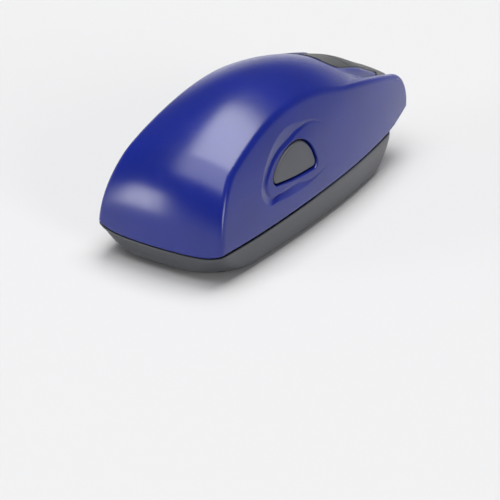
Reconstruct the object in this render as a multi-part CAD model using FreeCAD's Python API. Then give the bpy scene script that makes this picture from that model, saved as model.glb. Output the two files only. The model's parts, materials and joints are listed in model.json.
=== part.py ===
"""Pocket self-inking stamp, closed: a glossy housing hinged at its tail to a grey ink-pad base.

Sizes are millimetres. While modelling, x runs from the nose corner towards the tail, y is
negative on the left side, and z is measured from the line where housing and base meet.
Every piece is moved at the end, so that the origin is at the bottom centre of the closed stamp.
"""
import FreeCAD
import Part
import math
import os

V = FreeCAD.Vector

# Plan outline shared by housing and base: two arcs a side that meet where the body is widest
WIDEST_X = 38.0
WIDEST_HALF = 14.75
FRONT_RADIUS = 336.0
REAR_RADIUS = 200.0

# Housing top: arcs (radius, turn in degrees) from the nose's foot over the top, then straight
NOSE_BULGE = 1.15
NOSE_HEADING = 94.4
CROWN_ARCS = ((16.5, 48.3), (11.0, 20.6), (57.5, 51.5))
CROWN_REACH = 92.0
CROWN_HALF = 12.5
# How far the top falls from its centre line to CROWN_HALF, at these distances along it
DROP_PLACES = (0.0, 19.5, 46.9, 78.1)
DROP_SIZES = (1.15, 2.83, 4.8, 4.6)

# Housing flanks lean in by LEAN times the height plus FLANK_BEND times its square
LEAN = 0.05
FLANK_BEND = 0.013
WALL = 1.6
SPLIT_DIP = 0.8
SPLIT_GAP = 0.25

# Hinge across the tail
HINGE_X = 67.2
HINGE_Z = 5.0
FENDER_RADIUS = 5.1
FENDER_INNER_Y = 9.3
FENDER_CREST_SLOPE = -0.25
PIN_RADIUS = 1.0
PIN_HALF = 10.2
PIN_CLEARANCE = 0.05
LUG_INNER_Y = 7.4
LUG_THICK = 1.5
LUG_HUB_RADIUS = 2.0
LUG_WIDTH = 1.8
LUG_SLANT = 222.0
HUB_CLEARANCE = 0.45
LUG_SWING_END = 62.0
TAIL_RISE_X = 64.4
TAIL_RISE_SLOPE = 0.27

# Grey strip let into the top and the barrel under it
INSERT_FRONT_X = 47.0
INSERT_FRONT_HALF = 3.5
INSERT_BACK_X = 66.0
INSERT_BACK_HALF = 6.8
INSERT_RISE_FRONT = 0.4
INSERT_RISE_BACK = 1.0
INSERT_THICK = 1.5
BARREL_RADIUS = 5.7
BARREL_EDGE_RADIUS = 5.0
BARREL_HALF = 7.0
BARREL_WALL = 1.1
BARREL_START = -135.0
BARREL_END = 52.0

# Base
BASE_HEIGHT = 6.1
BASE_INSET = 0.6
BASE_WALL = 1.1
BASE_FLOOR = 0.8
BASE_TAIL_X = 64.8
BASE_CORNER = 4.6
BASE_EDGE_ROUND = 0.9
BASE_NOSE_RAKE = 12.0
BASE_NOSE_ROUND = 4.4
BASE_BOW_TOP = 0.5
BASE_BOW_BOTTOM = 5.5
NOSE_PLAN_RADIUS = 68.24

# Stamp plate and pad
PLATE_START = 4.5
PLATE_LENGTH = 47.9
PLATE_HALF = 9.1
PLATE_FACE = -2.05
DIE_SHEET = 0.4
RELIEF = 0.35
# Rows of plain bars on the die: half length of the row and height of its bars
RELIEF_ROWS = ((18.5, 2.2), (14.5, 1.3), (16.0, 1.6), (17.5, 1.3), (13.0, 1.3))
FOAM_MARGIN = 0.35
FOAM_TOP = 1.8
HOLDER_MARGIN = 1.3
HOLDER_THICK = 1.1
PAD_START = 3.5
PAD_END = 60.2
PAD_HALF = 10.2
PAD_TOP = -2.35
TRAY_WALL = 0.7
TRAY_FLOOR = 0.5
GROOVE_PITCH = 0.8
GROOVE_WIDE = 0.35
LUG_FOOT_X0 = 60.9
LUG_FOOT_X1 = 64.5

# Chassis round the plate
CHASSIS_BOTTOM = 0.6
CHASSIS_THICK = 1.2
CHASSIS_END_X = 60.8
RIDGE_COUNT = 3
RIDGE_FRONT_X = 5.0
RIDGE_BACK_X = 56.0
DECK_FRONT_X = 54.6
RIDGE_PITCH = 1.0
RIDGE_WIDE = 0.55
RIDGE_TALL = 0.4

# Side buttons, their dishes, springs and catch arms
BUTTON_SINK = 0.35
BUTTON_GAP = 0.35
BUTTON_DEPTH = 2.4
FLANGE_LIP = 0.9
FLANGE_THICK = 1.0
FLANGE_GAP = 0.15
DISH_X = 24.3
DISH_Z = 9.3
DISH_RADIUS = 100.0
DISH_DEPTH = 0.75
SPRING_X = 24.0
SPRING_Z = 8.6
SPRING_RADIUS = 1.5
SPRING_WIRE = 0.2
SPRING_TURNS = 4.5
SPRING_SEAT_Y = 5.2
SPRING_SEAT_THICK = 1.4
SPRING_SEAT_HALF = 2.6
SPRING_SEAT_RISE = 2.2
ARM_BOTTOM = 3.2
ARM_TOP = 4.05
ARM_OUTER_Y = 10.4
ARM_INNER_Y = 9.4
ARM_TAB_X0 = 18.4
ARM_TAB_X1 = 22.1
ARM_TAB_TOP = 6.9
ARM_FRONT_X = 3.4
ARM_TIP_Y = 3.2
ARM_TIP_GAP = 0.2

# Hooks and tooth at the base's nose
HOOK_Y = 6.6
HOOK_FRONT_X = 1.4
HOOK_BACK_X = 2.6
HOOK_ROOM_FRONT = 0.35
HOOK_ROOM_BACK = 0.6
HOOK_ROOM_SIDE = 0.4
HOOK_STEM_HALF = 1.2
HOOK_FOOT_HALF = 1.9
HOOK_BARB_Z = 4.2
HOOK_TOP_Z = 5.0
TOOTH_HALF = 1.5
TOOTH_TOP_Z = 2.5
LAND_Z = -1.2

NOSE_TIP_X = -1.2
SIDES = (("left", -1), ("right", 1))


def half_width(x):
    """Half width of the plan outline at the split line."""
    radius = FRONT_RADIUS if x < WIDEST_X else REAR_RADIUS
    return WIDEST_HALF - radius + math.sqrt(radius ** 2 - (x - WIDEST_X) ** 2)


def flank_inset(z):
    """How far a flank has leaned in at height z."""
    return LEAN * z + (FLANK_BEND * z * z if z > 0 else 0.0)


def split_z(x, y):
    """Height of the split surface: level along both sides, dipped along the middle."""
    return -SPLIT_DIP * (1.0 - (y / half_width(x)) ** 2)


def crown_centre(s):
    """Point and heading on the centre line of the top, s millimetres along it."""
    x = -NOSE_BULGE
    z = 0.0
    heading = math.radians(NOSE_HEADING)
    if s < 0:
        return x + s * math.cos(heading), s * math.sin(heading), heading
    left = s
    for radius, turn in CROWN_ARCS:
        step = min(left, radius * math.radians(turn))
        after = heading - step / radius
        x += radius * (math.sin(heading) - math.sin(after))
        z += radius * (math.cos(after) - math.cos(heading))
        heading = after
        left -= step
        if left <= 0:
            return x, z, heading
    return x + left * math.cos(heading), z + left * math.sin(heading), heading


def crown_drop(s):
    """Cubic through the four stated drops."""
    total = 0.0
    for i, place in enumerate(DROP_PLACES):
        term = DROP_SIZES[i]
        for j, other in enumerate(DROP_PLACES):
            if i != j:
                term *= (s - other) / (place - other)
        total += term
    return total


def crown_point(s, y, inward):
    """Point on the top at s and y, moved inward by that distance."""
    x, z, heading = crown_centre(s)
    depth = crown_drop(s) * (y / CROWN_HALF) ** 2 + inward
    return V(x + depth * math.sin(heading), y, z - depth * math.cos(heading))


def steps(low, high, count):
    """Evenly spaced values from low to high."""
    return [low + (high - low) * i / (count - 1) for i in range(count)]


def surface(rows):
    """Smooth face through a grid of points."""
    sheet = Part.BSplineSurface()
    sheet.interpolate(rows)
    return sheet.toShape()


def under_crown(inward=0.0):
    """Everything under the top, with the top moved inward by a number or a function of s."""
    move = inward if callable(inward) else (lambda s: inward)
    rows = [[crown_point(s, y, move(s)) for y in steps(-17, 17, 9)] for s in steps(-4, CROWN_REACH, 33)]
    return surface(rows).extrude(V(60, 0, -60))


def inside_flank(side, inward=0.0):
    """Everything on the inner side of one flank that has been moved inward."""
    rows = []
    for x in steps(-6, 77, 12):
        rows.append([V(x, side * (half_width(x) - flank_inset(z) - inward), z) for z in steps(-4, 24, 9)])
    return surface(rows).extrude(V(0, -side * 45, 0))


def above_split(lift):
    """Everything above the split surface raised by lift."""
    rows = [[V(x, y, split_z(x, y) + lift) for y in steps(-18, 18, 7)] for x in steps(-6, 80, 9)]
    return surface(rows).extrude(V(0, 0, 50))


def box(x0, x1, y0, y1, z0, z1):
    """Box between those limits."""
    return Part.makeBox(x1 - x0, y1 - y0, z1 - z0, V(x0, y0, z0))


def rounded_box(x0, x1, y0, y1, z0, z1, radius):
    """Box with rounded upright edges."""
    solid = box(x0, x1, y0, y1, z0, z1)
    upright = [e for e in solid.Edges if abs(e.Vertexes[0].Z - e.Vertexes[1].Z) > 1e-6]
    return solid.makeFillet(radius, upright)


def prism(points, direction):
    """Straight-edged outline extruded along a direction."""
    outline = [V(*p) for p in points]
    return Part.Face(Part.makePolygon(outline + outline[:1])).extrude(V(*direction))


def arc(a, b, c):
    """Edge through three points."""
    return Part.Arc(V(*a), V(*b), V(*c)).toShape()


def line(a, b):
    """Straight edge."""
    return Part.LineSegment(V(*a), V(*b)).toShape()


def fuse(parts):
    """One solid from touching or overlapping ones."""
    joined = parts[0]
    for part in parts[1:]:
        joined = joined.fuse(part)
    return joined.removeSplitter()


def common(parts):
    """What all the solids share."""
    shared = parts[0]
    for part in parts[1:]:
        shared = shared.common(part)
    return shared


def pin_bore(radius, y0, y1):
    """Cylinder on the hinge axis."""
    return Part.makeCylinder(radius, y1 - y0, V(HINGE_X, y0, HINGE_Z), V(0, 1, 0))


def tail_limit(radius, y0, y1):
    """Everything in front of the hinge, or within radius behind it, with open height."""
    top = (HINGE_X + radius, y0, HINGE_Z)
    edges = [
        line((-8, y0, -4), (HINGE_X, y0, -4)),
        line((HINGE_X, y0, -4), (HINGE_X, y0, HINGE_Z - radius)),
        arc((HINGE_X, y0, HINGE_Z - radius),
            (HINGE_X + radius * math.sqrt(0.5), y0, HINGE_Z - radius * math.sqrt(0.5)), top),
        line(top, (HINGE_X + radius, y0, 30)),
        line((HINGE_X + radius, y0, 30), (-8, y0, 30)),
        line((-8, y0, 30), (-8, y0, -4)),
    ]
    return Part.Face(Part.Wire(edges)).extrude(V(0, y1 - y0, 0))


def fender_profile(y0, y1):
    """Side plate of the tail: a straight crest that runs into a round end about the hinge."""
    normal = math.atan2(1.0, -FENDER_CREST_SLOPE)
    crest_x = HINGE_X + FENDER_RADIUS * math.cos(normal)
    crest_z = HINGE_Z + FENDER_RADIUS * math.sin(normal)
    front_x = 40.0
    front_z = crest_z + FENDER_CREST_SLOPE * (front_x - crest_x)
    edges = [
        line((front_x, y0, -2), (HINGE_X, y0, -2)),
        line((HINGE_X, y0, -2), (HINGE_X, y0, HINGE_Z - FENDER_RADIUS)),
        arc((HINGE_X, y0, HINGE_Z - FENDER_RADIUS), (HINGE_X + FENDER_RADIUS, y0, HINGE_Z),
            (crest_x, y0, crest_z)),
        line((crest_x, y0, crest_z), (front_x, y0, front_z)),
        line((front_x, y0, front_z), (front_x, y0, -2)),
    ]
    return Part.Face(Part.Wire(edges)).extrude(V(0, y1 - y0, 0))


def button_outline(grow, y0, y1):
    """Leaf of five arcs, blunt towards the nose and pointed towards the tail."""
    edges = [
        arc((29.5, y0, 6.08), (23.9, y0, 6.3), (18.3, y0, 6.9)),
        arc((18.3, y0, 6.9), (17.35, y0, 7.5), (17.6, y0, 8.45)),
        arc((17.6, y0, 8.45), (21.3, y0, 10.7), (25.9, y0, 11.7)),
        arc((25.9, y0, 11.7), (29.0, y0, 10.7), (30.7, y0, 7.6)),
        arc((30.7, y0, 7.6), (30.65, y0, 6.4), (29.5, y0, 6.08)),
    ]
    wire = Part.Wire(edges)
    if grow:
        wire = wire.makeOffset2D(grow)
    return Part.Face(wire).extrude(V(0, y1 - y0, 0))


def insert_plan(gap):
    """Plan of the grey strip: a rounded front end that widens towards the tail."""
    front = INSERT_FRONT_X - gap
    narrow = INSERT_FRONT_HALF + gap
    wide = INSERT_BACK_HALF + gap
    end = HINGE_X + 8
    edges = [
        arc((front + 1.2, -narrow, -5), (front, 0, -5), (front + 1.2, narrow, -5)),
        line((front + 1.2, narrow, -5), (INSERT_BACK_X, wide, -5)),
        line((INSERT_BACK_X, wide, -5), (end, wide, -5)),
        line((end, wide, -5), (end, -wide, -5)),
        line((end, -wide, -5), (INSERT_BACK_X, -wide, -5)),
        line((INSERT_BACK_X, -wide, -5), (front + 1.2, -narrow, -5)),
    ]
    return Part.Face(Part.Wire(edges)).extrude(V(0, 0, 40))


def insert_rise(s):
    """How far the grey strip stands above the top, growing towards the tail."""
    share = (s - 60.0) / 22.0
    return INSERT_RISE_FRONT + (INSERT_RISE_BACK - INSERT_RISE_FRONT) * min(max(share, 0.0), 1.0)


def housing_block(inward):
    """Housing without its tail's side plates, every wall moved inward."""
    return common([under_crown(inward), inside_flank(-1, inward), inside_flank(1, inward)])


def dish(side):
    """Ball that scoops the shallow hollow round a button."""
    slope = math.atan(LEAN + 2 * FLANK_BEND * DISH_Z)
    reach = DISH_RADIUS - DISH_DEPTH
    y = half_width(DISH_X) - flank_inset(DISH_Z) + reach * math.cos(slope)
    return Part.makeSphere(DISH_RADIUS, V(DISH_X, side * y, DISH_Z + reach * math.sin(slope)))


def hook_room(y, half, top):
    """Room that the housing leaves for a hook or the tooth at y."""
    wide = half + HOOK_ROOM_SIDE
    front = HOOK_FRONT_X - HOOK_ROOM_FRONT
    return box(front, HOOK_BACK_X + HOOK_ROOM_BACK, y - wide, y + wide, -3, top)


def make_cover():
    """Indigo shell with its side plates, button holes, dishes and the strip's opening."""
    outer = housing_block(0.0).common(tail_limit(FENDER_RADIUS, -18, 18))
    flanks = inside_flank(-1).common(inside_flank(1))
    fenders = fender_profile(FENDER_INNER_Y, 16).fuse(fender_profile(-16, -FENDER_INNER_Y))
    outer = fuse([outer, fenders.common(flanks)])
    cavity = housing_block(WALL)
    front = cavity.common(box(-8, CHASSIS_END_X, -18, 18, -6, 30))
    back = cavity.common(box(CHASSIS_END_X - 1, 80, -FENDER_INNER_Y, FENDER_INNER_Y, -6, 30))
    shell = outer.cut(front).cut(back)
    low = math.radians(LUG_SWING_END)
    reach = 9.0
    swing = prism([
        (HINGE_X, -FENDER_INNER_Y, HINGE_Z),
        (HINGE_X + reach * math.cos(low), -FENDER_INNER_Y, HINGE_Z + reach * math.sin(low)),
        (HINGE_X + reach, -FENDER_INNER_Y, HINGE_Z + reach * math.sin(low)),
        (HINGE_X + reach, -FENDER_INNER_Y, -6),
        (HINGE_X, -FENDER_INNER_Y, -6),
    ], (0, 2 * FENDER_INNER_Y, 0))
    shell = shell.cut(swing).cut(insert_plan(0.0))
    shell = shell.cut(pin_bore(PIN_RADIUS, -PIN_HALF, PIN_HALF))
    shell = shell.cut(pin_bore(LUG_HUB_RADIUS + HUB_CLEARANCE, -FENDER_INNER_Y, FENDER_INNER_Y))
    rise_end = HINGE_X + reach
    shell = shell.cut(prism([
        (TAIL_RISE_X, -16, -1), (rise_end, -16, -1),
        (rise_end, -16, (rise_end - TAIL_RISE_X) * TAIL_RISE_SLOPE), (TAIL_RISE_X, -16, 0),
    ], (0, 32, 0)))
    for _, side in SIDES:
        low_y, high_y = sorted((side * 8.0, side * 18.0))
        shell = shell.cut(dish(side)).cut(button_outline(BUTTON_GAP, low_y, high_y))
        shell = shell.cut(hook_room(side * HOOK_Y, HOOK_FOOT_HALF, HOOK_TOP_Z + HOOK_ROOM_FRONT))
    return shell.common(above_split(SPLIT_GAP / 2))


def make_insert():
    """Grey strip let into the top, a little proud of it."""
    upper = under_crown(lambda s: -insert_rise(s))
    body = upper.cut(under_crown(INSERT_THICK))
    body = body.common(insert_plan(0.0)).common(tail_limit(BARREL_EDGE_RADIUS + 0.4, -9, 9))
    return body.cut(box(HINGE_X, 80, -9, 9, -6, HINGE_Z + 3.4))


def make_barrel():
    """Grey barrel under the tail with its flat deck and two end webs on the pin."""
    inner = BARREL_EDGE_RADIUS - BARREL_WALL
    half = BARREL_HALF
    edges = [
        arc((HINGE_X + BARREL_EDGE_RADIUS, -half, HINGE_Z), (HINGE_X + BARREL_RADIUS, 0, HINGE_Z),
            (HINGE_X + BARREL_EDGE_RADIUS, half, HINGE_Z)),
        line((HINGE_X + BARREL_EDGE_RADIUS, half, HINGE_Z), (HINGE_X + inner, half, HINGE_Z)),
        line((HINGE_X + inner, half, HINGE_Z), (HINGE_X + inner, -half, HINGE_Z)),
        line((HINGE_X + inner, -half, HINGE_Z), (HINGE_X + BARREL_EDGE_RADIUS, -half, HINGE_Z)),
    ]
    span = BARREL_END - BARREL_START
    hinge = V(HINGE_X, 0, HINGE_Z)
    skin = Part.Face(Part.Wire(edges))
    skin.rotate(hinge, V(0, -1, 0), BARREL_START)
    shell = skin.revolve(hinge, V(0, -1, 0), span)
    parts = [shell]
    for _, side in SIDES:
        y0 = side * half
        web = Part.Face(Part.makePolygon([
            V(HINGE_X + PIN_RADIUS, y0, HINGE_Z), V(HINGE_X + inner + 0.3, y0, HINGE_Z),
            V(HINGE_X + inner + 0.3, y0 - side, HINGE_Z), V(HINGE_X + PIN_RADIUS, y0 - side, HINGE_Z),
            V(HINGE_X + PIN_RADIUS, y0, HINGE_Z),
        ]))
        web.rotate(hinge, V(0, -1, 0), BARREL_START)
        parts.append(web.revolve(hinge, V(0, -1, 0), span))
    deck = box(DECK_FRONT_X, HINGE_X - 2.9, -half, half, CHASSIS_BOTTOM, CHASSIS_BOTTOM + CHASSIS_THICK)
    deck = deck.cut(pin_bore(inner + 0.2, -half - 1, half + 1))
    parts.append(deck)
    return fuse(parts).cut(make_insert())


def make_pin():
    """Steel pin pressed into the two side plates."""
    return pin_bore(PIN_RADIUS, -PIN_HALF, PIN_HALF)


def make_chassis():
    """Black frame round the plate with three ridges along each side."""
    body = housing_block(WALL + 0.1)
    slab = box(-2, CHASSIS_END_X, -18, 18, CHASSIS_BOTTOM, CHASSIS_BOTTOM + CHASSIS_THICK)
    frame = body.common(slab)
    ridges = []
    for _, side in SIDES:
        for i in range(RIDGE_COUNT):
            y = side * (PLATE_HALF + 1.5 + RIDGE_PITCH * i)
            low_y, high_y = sorted((y, y + side * RIDGE_WIDE))
            depth = RIDGE_TALL * (RIDGE_COUNT - i) / RIDGE_COUNT
            low_z = CHASSIS_BOTTOM - depth
            ridges.append(box(RIDGE_FRONT_X, RIDGE_BACK_X, low_y, high_y, low_z, CHASSIS_BOTTOM + 0.2))
    frame = fuse([frame] + [r.common(body) for r in ridges])
    frame = frame.cut(rounded_box(
        PLATE_START - FOAM_MARGIN - 0.15, PLATE_START + PLATE_LENGTH + FOAM_MARGIN + 0.15,
        -PLATE_HALF - FOAM_MARGIN - 0.15, PLATE_HALF + FOAM_MARGIN + 0.15, -3, 4, 0.6))
    frame = frame.cut(box(DECK_FRONT_X, 70, -LUG_INNER_Y, LUG_INNER_Y, -3, 4))
    for _, side in SIDES:
        frame = frame.cut(hook_room(side * HOOK_Y, HOOK_FOOT_HALF, 4))
    return frame.cut(hook_room(0, TOOTH_HALF, 4))


def make_holder():
    """Carrier of the stamp plate with a seat for each button's spring."""
    x0 = PLATE_START - HOLDER_MARGIN + 0.5
    x1 = PLATE_START + PLATE_LENGTH + HOLDER_MARGIN - 0.5
    half = PLATE_HALF + HOLDER_MARGIN - 0.4
    parts = [rounded_box(x0, x1, -half, half, FOAM_TOP, FOAM_TOP + HOLDER_THICK, 0.8)]
    for _, side in SIDES:
        low_y, high_y = sorted((side * (SPRING_SEAT_Y - SPRING_SEAT_THICK), side * SPRING_SEAT_Y))
        parts.append(box(SPRING_X - SPRING_SEAT_HALF, SPRING_X + SPRING_SEAT_HALF, low_y, high_y,
                         FOAM_TOP + HOLDER_THICK - 0.2, SPRING_Z + SPRING_SEAT_RISE))
    return fuse(parts)


def make_foam():
    """Pale cushion under the die."""
    return rounded_box(
        PLATE_START - FOAM_MARGIN, PLATE_START + PLATE_LENGTH + FOAM_MARGIN,
        -PLATE_HALF - FOAM_MARGIN, PLATE_HALF + FOAM_MARGIN,
        PLATE_FACE + RELIEF + DIE_SHEET, FOAM_TOP, 0.5)


def make_die():
    """Rubber sheet with a raised border and rows of plain bars."""
    x1 = PLATE_START + PLATE_LENGTH
    sheet_low = PLATE_FACE + RELIEF
    parts = [box(PLATE_START, x1, -PLATE_HALF, PLATE_HALF, sheet_low, sheet_low + DIE_SHEET)]
    border = 0.6
    rim = box(PLATE_START, x1, -PLATE_HALF, PLATE_HALF, PLATE_FACE, sheet_low)
    rim = rim.cut(box(PLATE_START + border, x1 - border, -PLATE_HALF + border, PLATE_HALF - border,
                      PLATE_FACE - 1, sheet_low + 1))
    parts.append(rim)
    middle = PLATE_START + PLATE_LENGTH / 2
    y = PLATE_HALF - 1.6
    for half, tall in RELIEF_ROWS:
        pitch = tall * 1.15
        count = int(2 * half / pitch)
        for i in range(count):
            if i % 6 == 5:
                continue
            x = middle - half + i * pitch
            parts.append(box(x, x + tall * 0.62, y - tall, y, PLATE_FACE, sheet_low))
        y -= tall + 1.55
    return fuse(parts)


def make_button(side):
    """Leaf-shaped push button with a flange that keeps it behind the flank."""
    low_y, high_y = sorted((side * 8.0, side * 18.0))
    face = inside_flank(side, BUTTON_SINK)
    back = inside_flank(side, BUTTON_DEPTH)
    head = button_outline(0.0, low_y, high_y).common(face).cut(back)
    flange_front = inside_flank(side, WALL + FLANGE_GAP)
    flange_back = inside_flank(side, WALL + FLANGE_GAP + FLANGE_THICK)
    flange = button_outline(FLANGE_LIP, low_y, high_y).common(flange_front).cut(flange_back)
    return fuse([head, flange])


def make_arm(side):
    """Catch arm: a tab behind the button, a bar forward and a tip beside the hook."""
    flange_back = inside_flank(side, WALL + FLANGE_GAP + FLANGE_THICK)

    def bar(x0, x1, y_in, y_out, z0, z1):
        low_y, high_y = sorted((side * y_in, side * y_out))
        return box(x0, x1, low_y, high_y, z0, z1)

    tab = bar(ARM_TAB_X0, ARM_TAB_X1, ARM_INNER_Y, 12.5, 4.9, ARM_TAB_TOP).common(flange_back)
    foot = bar(ARM_TAB_X0, ARM_TAB_X1, ARM_INNER_Y, ARM_OUTER_Y, ARM_BOTTOM, ARM_TAB_TOP - 0.5)
    long_bar = bar(ARM_FRONT_X, ARM_TAB_X0 + 1.6, ARM_INNER_Y, ARM_OUTER_Y, ARM_BOTTOM, ARM_TOP)
    cross = bar(ARM_FRONT_X, ARM_FRONT_X + 1.2, ARM_TIP_Y, ARM_OUTER_Y, ARM_BOTTOM, ARM_TOP)
    tip_end = HOOK_Y - HOOK_FOOT_HALF - ARM_TIP_GAP
    tip = bar(HOOK_FRONT_X, ARM_FRONT_X + 0.6, ARM_TIP_Y, tip_end, ARM_BOTTOM, ARM_TOP)
    return fuse([tab, foot, long_bar, cross, tip])


def biarc(p0, t0, p1, t1):
    """Two tangent arcs from p0 to p1 that leave along t0 and arrive along t1."""
    v = p1 - p0
    t = t0 + t1
    a = 2 * (1 - t0.dot(t1))
    b = v.dot(t)
    d = (-b + math.sqrt(b * b + a * v.dot(v))) / a
    q0 = p0 + t0 * d
    q1 = p1 - t1 * d
    joint = (q0 + q1) * 0.5
    edges = []
    for start, corner, end in ((p0, q0, joint), (joint, q1, p1)):
        half_chord = (end - start).Length / 2
        weight = half_chord / (corner - start).Length
        middle = ((start + end) * 0.5 + corner * weight) * (1 / (1 + weight))
        edges.append(Part.Arc(start, middle, end).toShape())
    return edges


def coil(y0, y1, turns, side):
    """One unbroken wire wound along y about the spring's centre."""
    radius = SPRING_RADIUS
    quarter = math.pi / 2
    count = int(round(turns * 4))
    climb = (y1 - y0) / count

    def place(i):
        a = i * quarter
        point = V(SPRING_X + radius * math.cos(a), y0 + climb * i, SPRING_Z + radius * math.sin(a))
        tangent = V(-radius * math.sin(a), climb / quarter, radius * math.cos(a))
        return point, tangent.normalize()

    edges = []
    for i in range(count):
        p0, t0 = place(i)
        p1, t1 = place(i + 1)
        edges += biarc(p0, t0, p1, t1)
    path = Part.Wire(edges)
    start, along = place(0)
    section = Part.Wire([Part.Circle(start, along, SPRING_WIRE).toShape()])
    shell = Part.BRepOffsetAPI.MakePipeShell(path)
    shell.add(section)
    shell.build()
    shell.makeSolid()
    gap = abs(4 * climb) - 2 * SPRING_WIRE
    print(side, "spring: least gap between turns", round(gap, 2))
    return shell.shape()


def make_spring(side, name):
    """Return spring between the button's flange and its seat."""
    reach = half_width(SPRING_X) - flank_inset(SPRING_Z + SPRING_RADIUS + SPRING_WIRE)
    outer = reach - WALL - FLANGE_GAP - FLANGE_THICK - SPRING_WIRE - 0.1
    inner = SPRING_SEAT_Y + SPRING_WIRE + 0.05
    return coil(side * inner, side * outer, SPRING_TURNS, name)


def circles_meet(c0, r0, c1, r1, side):
    """Where two circles in plan cross, on the side of the first centre that side says."""
    dx, dy = c1[0] - c0[0], c1[1] - c0[1]
    gap = math.hypot(dx, dy)
    along = (r0 * r0 - r1 * r1 + gap * gap) / (2 * gap)
    across = side * math.sqrt(r0 * r0 - along * along)
    return c0[0] + (along * dx - across * dy) / gap, c0[1] + (along * dy + across * dx) / gap


def toward(centre, target, radius):
    """Point on a circle in the direction of, or past, a target."""
    reach = math.hypot(target[0] - centre[0], target[1] - centre[1])
    return (centre[0] + (target[0] - centre[0]) * radius / reach,
            centre[1] + (target[1] - centre[1]) * radius / reach)


def base_section(z, wall, bottom):
    """Side inset, nose position and nose corner radius of the base at height z."""
    share = min(max(-z / BASE_HEIGHT, 0.0), 1.0)
    inset = wall - BASE_INSET * z / BASE_HEIGHT
    above = z - bottom
    edge = BASE_EDGE_ROUND
    if above < edge:
        inset += edge - math.sqrt(edge ** 2 - (edge - above) ** 2)
    rake = math.tan(math.radians(BASE_NOSE_RAKE))
    nose = wall - NOSE_BULGE - z * rake
    arc_radius = BASE_NOSE_ROUND - wall
    slope = math.radians(BASE_NOSE_RAKE)
    touch = bottom + arc_radius * (1 - math.sin(slope))
    if z < touch:
        start = wall - NOSE_BULGE - touch * rake
        centre = start + arc_radius * math.cos(slope)
        nose = centre - math.sqrt(max(arc_radius ** 2 - (bottom + arc_radius - z) ** 2, 0.0))
    corner = BASE_BOW_TOP + (BASE_BOW_BOTTOM - BASE_BOW_TOP) * share
    return inset, nose, max(corner - wall, 0.3)


def base_outline(z, wall, bottom):
    """Closed plan outline of the base at height z: ten arcs and lines."""
    inset, nose, bow = base_section(z, wall, bottom)
    tail_x = BASE_TAIL_X - inset
    tail_r = BASE_CORNER - wall * 0.8
    front_r = FRONT_RADIUS - inset
    rear_r = REAR_RADIUS - inset
    nose_c = (NOSE_PLAN_RADIUS - NOSE_BULGE, 0.0)
    nose_r = nose_c[0] - nose
    rear_c = REAR_RADIUS - WIDEST_HALF
    centre_x = tail_x - tail_r
    centre_y = math.sqrt((rear_r - tail_r) ** 2 - (centre_x - WIDEST_X) ** 2) - rear_c
    half = []
    for side in (-1, 1):
        front_centre = (WIDEST_X, -side * (FRONT_RADIUS - WIDEST_HALF))
        rear_centre = (WIDEST_X, -side * rear_c)
        bow_centre = circles_meet(nose_c, nose_r - bow, front_centre, front_r - bow, -side)
        bow_nose = toward(nose_c, bow_centre, nose_r)
        bow_side = toward(front_centre, bow_centre, front_r)
        bow_mid = toward(bow_centre, ((bow_nose[0] + bow_side[0]) / 2, (bow_nose[1] + bow_side[1]) / 2), bow)
        wide = (WIDEST_X, side * (WIDEST_HALF - inset))
        front_mid = toward(front_centre, ((bow_side[0] + wide[0]) / 2, (bow_side[1] + wide[1]) / 2), front_r)
        tail_centre = (centre_x, side * centre_y)
        tail_side = toward(rear_centre, tail_centre, rear_r)
        tail_end = (tail_x, side * centre_y)
        chord_mid = ((tail_side[0] + tail_end[0]) / 2, (tail_side[1] + tail_end[1]) / 2)
        tail_mid = toward(tail_centre, chord_mid, tail_r)
        rear_mid = toward(rear_centre, ((wide[0] + tail_side[0]) / 2, (wide[1] + tail_side[1]) / 2), rear_r)
        half.append((bow_nose, bow_mid, bow_side, front_mid, wide, rear_mid, tail_side, tail_mid, tail_end))
    left, right = half
    edges = [arc(left[i] + (z,), left[i + 1] + (z,), left[i + 2] + (z,)) for i in (0, 2, 4, 6)]
    edges.append(line(left[8] + (z,), right[8] + (z,)))
    edges += [arc(right[i + 2] + (z,), right[i + 1] + (z,), right[i] + (z,)) for i in (6, 4, 2, 0)]
    edges.append(arc(right[0] + (z,), (nose, 0.0, z), left[0] + (z,)))
    return Part.Wire(edges)


def base_hull(wall, bottom):
    """Boat-like body, with its sides moved inward by wall and its floor at bottom."""
    heights = [1.2, -0.6, -2.2] + [bottom + rise for rise in (2.2, 1.3, 0.7, 0.3, 0.08, 0.0)]
    sections = [base_outline(z, wall, bottom) for z in heights]
    return Part.makeLoft(sections, True, True)


def make_base():
    """Grey boat-like base with a level floor inside."""
    hull = base_hull(0.0, -BASE_HEIGHT)
    pocket = base_hull(BASE_WALL, -BASE_HEIGHT + BASE_FLOOR)
    return hull.cut(pocket).cut(above_split(-SPLIT_GAP / 2))


def make_rim():
    """Black stepped land between the base's wall and the pad, with three ridges a side."""
    low = PAD_TOP + 0.1
    fill = base_hull(BASE_WALL + 0.05, -BASE_HEIGHT + BASE_FLOOR)
    land = fill.common(box(-4, 70, -18, 18, low, LAND_Z))
    well = rounded_box(PAD_START + 0.4, PAD_END - 0.4, -PAD_HALF + 0.4, PAD_HALF - 0.4, -6, 1, 1.5)
    land = land.cut(well)
    step = rounded_box(PAD_START - 0.3, PAD_END + 0.3, -PAD_HALF - 0.3, PAD_HALF + 0.3,
                       LAND_Z - 0.45, 1, 2.0)
    land = land.cut(step)
    grooves = []
    for _, side in SIDES:
        for i in range(RIDGE_COUNT):
            y = side * (PAD_HALF + 0.75 + GROOVE_PITCH * i)
            low_y, high_y = sorted((y, y + side * GROOVE_WIDE))
            grooves.append(box(8.0, 57.0, low_y, high_y, LAND_Z - 0.35, LAND_Z + 1))
    for groove in grooves:
        land = land.cut(groove)
    return cut_for_lugs(land)


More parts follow.
